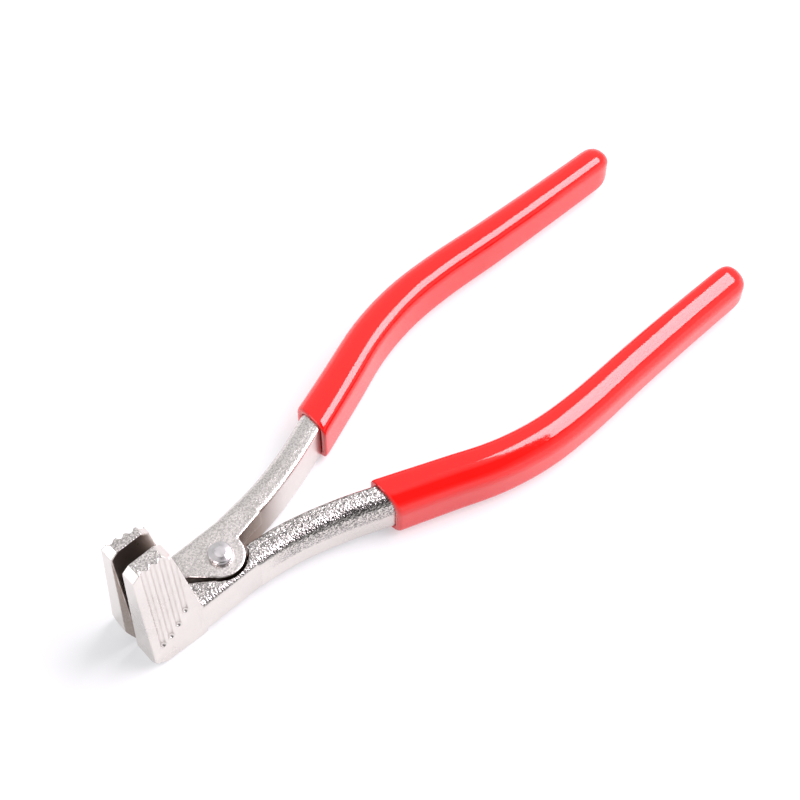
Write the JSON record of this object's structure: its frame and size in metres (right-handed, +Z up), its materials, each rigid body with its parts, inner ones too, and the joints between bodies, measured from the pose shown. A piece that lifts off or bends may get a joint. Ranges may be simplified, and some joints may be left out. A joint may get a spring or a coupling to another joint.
{
  "type": "spreading nippers",
  "caption": "Hand-held nippers with two cast levers on a half-lap pivot, tall upright jaws grooved on the outside, and dipped red grips.",
  "frame": {"origin": "centre of the tool's footprint, on the surface it lies on", "axes": "+X from the jaws to the grips, +Z up along the pivot and up the jaws, +Y to the right-hand lever for a user who looks from the grips to the jaws"},
  "size_m": [0.1764, 0.063, 0.0475],
  "materials": {
    "plated_casting": "nickel-plated over a sandy casting skin, bright where it is ground",
    "rivet_steel": "bright, formed head",
    "dipped_vinyl": "glossy dipped coating"
  },
  "bodies": {
    "left_half": {"left_lever": "plated_casting", "left_grip": "dipped_vinyl", "rivet": "rivet_steel"},
    "right_half": {"right_lever": "plated_casting", "right_grip": "dipped_vinyl"}
  },
  "joints": [
    {"name": "squeeze", "type": "hinge", "parent": "left_half", "child": "right_half", "pos_m": [-0.0618, 0, 0.0079], "axis": [0, 0, -1], "range_deg": [-1.6, 14]}
  ]
}
